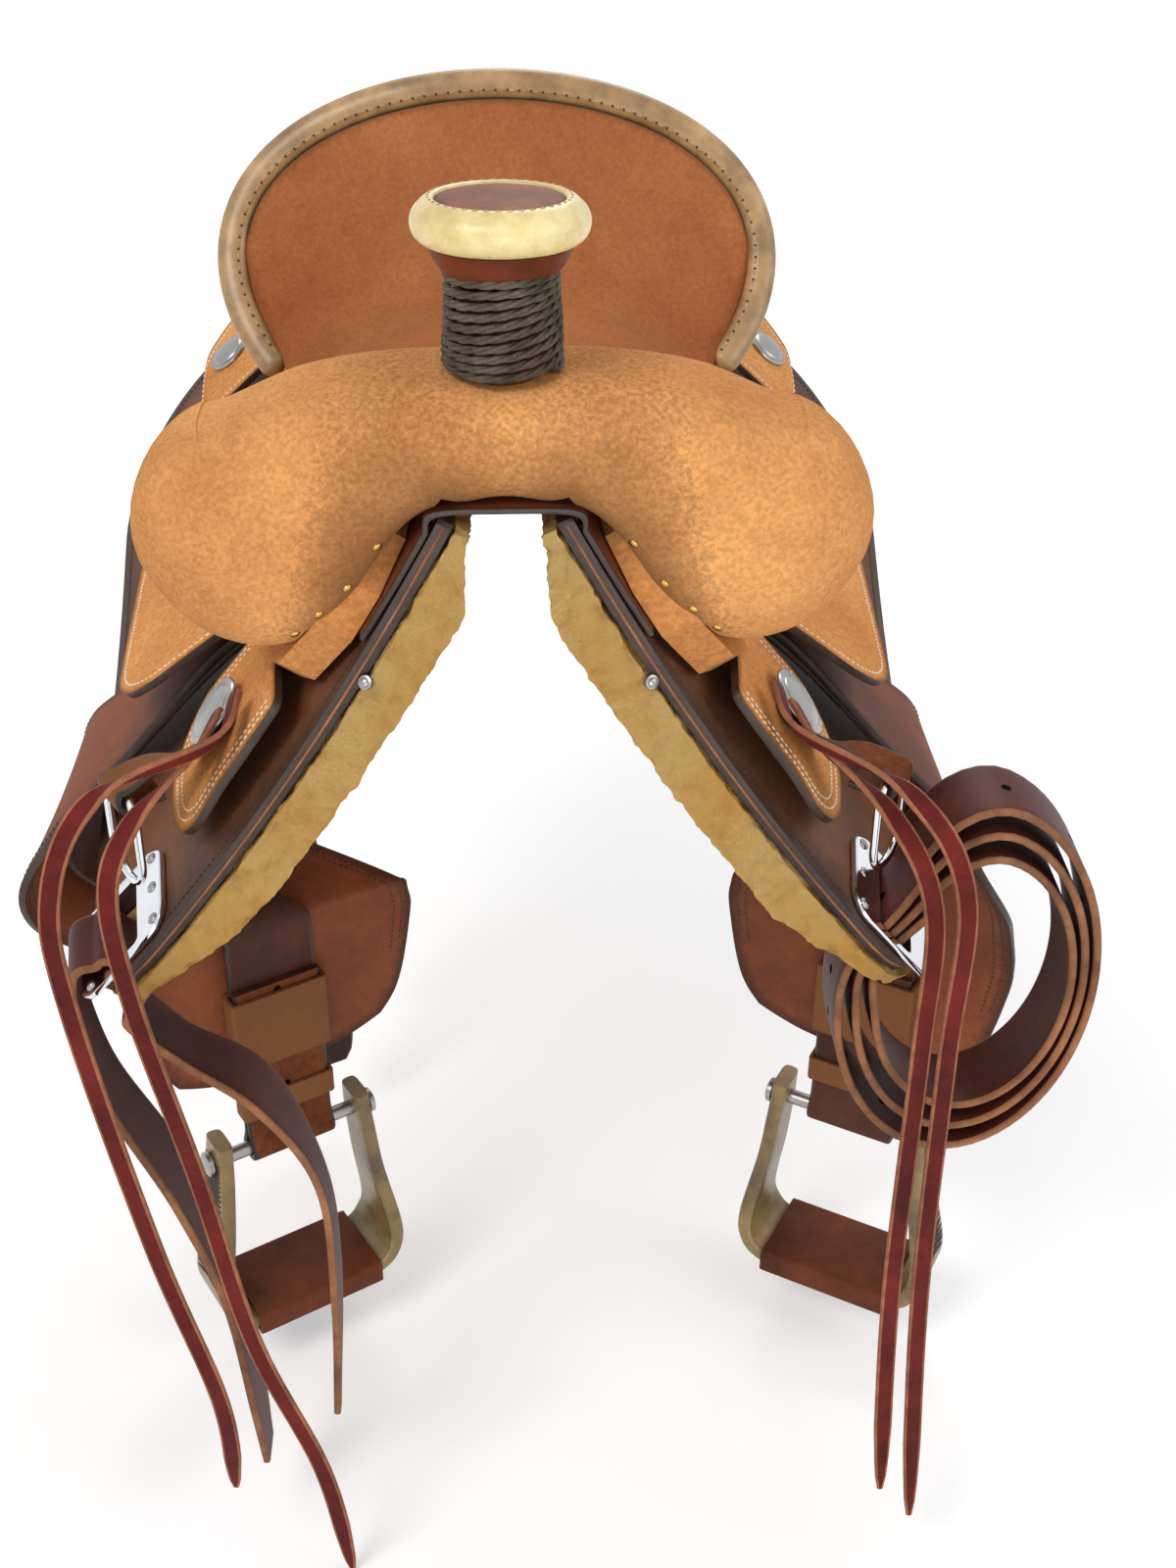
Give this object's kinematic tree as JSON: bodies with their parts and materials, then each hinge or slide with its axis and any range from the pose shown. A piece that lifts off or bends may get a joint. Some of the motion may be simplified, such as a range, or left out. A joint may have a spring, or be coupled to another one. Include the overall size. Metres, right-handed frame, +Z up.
{
  "type": "ranch saddle",
  "caption": "Wide-swell ranch saddle with wrapped horn, in-skirt rigging, sheepskin-lined skirts, fenders and wide wooden stirrups.",
  "frame": {"origin": "on the middle plane, in the channel under the seat's low point where a rack's rail carries the saddle", "axes": "+Z up, +Y towards the cantle and tail, +X towards the near (left) side of the horse"},
  "size_m": [0.6021, 0.6569, 0.8554],
  "materials": {
    "roughout": "roughout swell leather",
    "tan": "smooth tan leather",
    "suede": "suede seat leather",
    "fender": "fender leather, flesh side out",
    "brown": "dark edged skirt leather",
    "dark": "oiled latigo leather",
    "black": "black leather",
    "burgundy": "saddle string leather",
    "rawhide": "rawhide",
    "wood": "rawhide covered wooden tree",
    "wool": "sheepskin lining",
    "rope": "wrapped cord",
    "steel": "stainless hardware",
    "chrome": "plated rigging plate"
  },
  "bodies": {
    "saddle": {"cantle_back": "tan", "cantle_binding": "rawhide", "cantle_core": "wood", "dee_strap_near": "tan", "dee_strap_off": "tan", "front_concho_near": "steel", "front_concho_off": "steel", "front_jockey_near": "tan", "front_jockey_off": "tan", "ground_seat": "brown", "gullet_lining": "black", "horn_cap": "brown", "horn_neck": "brown", "horn_rim": "rawhide", "horn_wrap": "rope", "rear_concho_near": "steel", "rear_concho_off": "steel", "rear_jockey_near": "tan", "rear_jockey_off": "tan", "rear_string_near": "burgundy", "rear_string_off": "burgundy", "rigging_plate_near": "chrome", "rigging_plate_off": "chrome", "seat_leather": "suede", "sheepskin_near": "wool", "sheepskin_off": "wool", "side_jockey_near": "tan", "side_jockey_off": "tan", "skirt_near": "brown", "skirt_off": "brown", "string_near_inner": "burgundy", "string_near_outer": "burgundy", "string_off_inner": "burgundy", "string_off_outer": "burgundy", "swell_cover": "roughout", "tree_bar_near": "wood", "tree_bar_off": "wood", "tree_fork": "wood"},
    "near_sleeve": {"buckle_sleeve_near": "tan"},
    "off_sleeve": {"buckle_sleeve_off": "tan"},
    "near_dee": {"dee_ring_near": "steel"},
    "off_dee": {"dee_ring_off": "steel"},
    "near_fender": {"fender_near": "fender", "hobble_strap_near": "tan", "stirrup_leather_near": "dark"},
    "off_fender": {"fender_off": "fender", "hobble_strap_off": "tan", "stirrup_leather_off": "dark"},
    "latigo": {"latigo_coil": "dark"},
    "off_billet": {"off_billet": "dark"},
    "near_rear_billet": {"rear_billet_near": "dark"},
    "off_rear_billet": {"rear_billet_off": "black"},
    "near_stirrup": {"stirrup_bolt_near": "steel", "stirrup_bow_near": "rawhide", "stirrup_tread_near": "tan"},
    "off_stirrup": {"stirrup_bolt_off": "steel", "stirrup_bow_off": "rawhide", "stirrup_tread_off": "tan"}
  },
  "joints": [
    {"name": "near_fender_swing", "type": "hinge", "parent": "saddle", "child": "near_fender", "pos_m": [0.11947, -0.05001, -0.07254], "axis": [0.7273, -0.2989, 0.6177], "range_deg": [-8, 4]},
    {"name": "near_sleeve_slide", "type": "slide", "parent": "near_fender", "child": "near_sleeve", "axis": [0, 0, -1], "range_m": [0, 0.02]},
    {"name": "near_stirrup_swing", "type": "hinge", "parent": "near_fender", "child": "near_stirrup", "pos_m": [0.232, -0.048, -0.486], "axis": [0.866, -0.5, 0], "range_deg": [-30, 30]},
    {"name": "near_dee_swing", "type": "hinge", "parent": "saddle", "child": "near_dee", "pos_m": [0.197, -0.206, -0.107], "axis": [0.5299, 0.848, 0], "range_deg": [-2, 32]},
    {"name": "near_rear_billet_swing", "type": "hinge", "parent": "saddle", "child": "near_rear_billet", "pos_m": [0.20254, 0.16571, -0.19868], "axis": [0, -1, 0], "range_deg": [-14, 3]},
    {"name": "off_fender_swing", "type": "hinge", "parent": "saddle", "child": "off_fender", "pos_m": [-0.11947, -0.05001, -0.07254], "axis": [0.7273, 0.2989, -0.6177], "range_deg": [-8, 4]},
    {"name": "off_sleeve_slide", "type": "slide", "parent": "off_fender", "child": "off_sleeve", "axis": [0, 0, -1], "range_m": [0, 0.02]},
    {"name": "off_stirrup_swing", "type": "hinge", "parent": "off_fender", "child": "off_stirrup", "pos_m": [-0.152, -0.048, -0.486], "axis": [-0.866, -0.5, 0], "range_deg": [-30, 30]},
    {"name": "off_dee_swing", "type": "hinge", "parent": "saddle", "child": "off_dee", "pos_m": [-0.197, -0.206, -0.107], "axis": [0.5299, -0.848, 0], "range_deg": [-75, 32]},
    {"name": "off_rear_billet_swing", "type": "hinge", "parent": "saddle", "child": "off_rear_billet", "pos_m": [-0.20254, 0.16571, -0.19868], "axis": [0, 1, 0], "range_deg": [-14, 0.5]},
    {"name": "latigo_swing", "type": "hinge", "parent": "saddle", "child": "latigo", "pos_m": [0.19782, -0.20019, -0.20131], "axis": [0, -1, 0], "range_deg": [-5, 0.4]},
    {"name": "off_billet_swing", "type": "hinge", "parent": "saddle", "child": "off_billet", "pos_m": [-0.2148, -0.20017, -0.22036], "axis": [0, 1, 0], "range_deg": [-1.5, 1.5]}
  ]
}
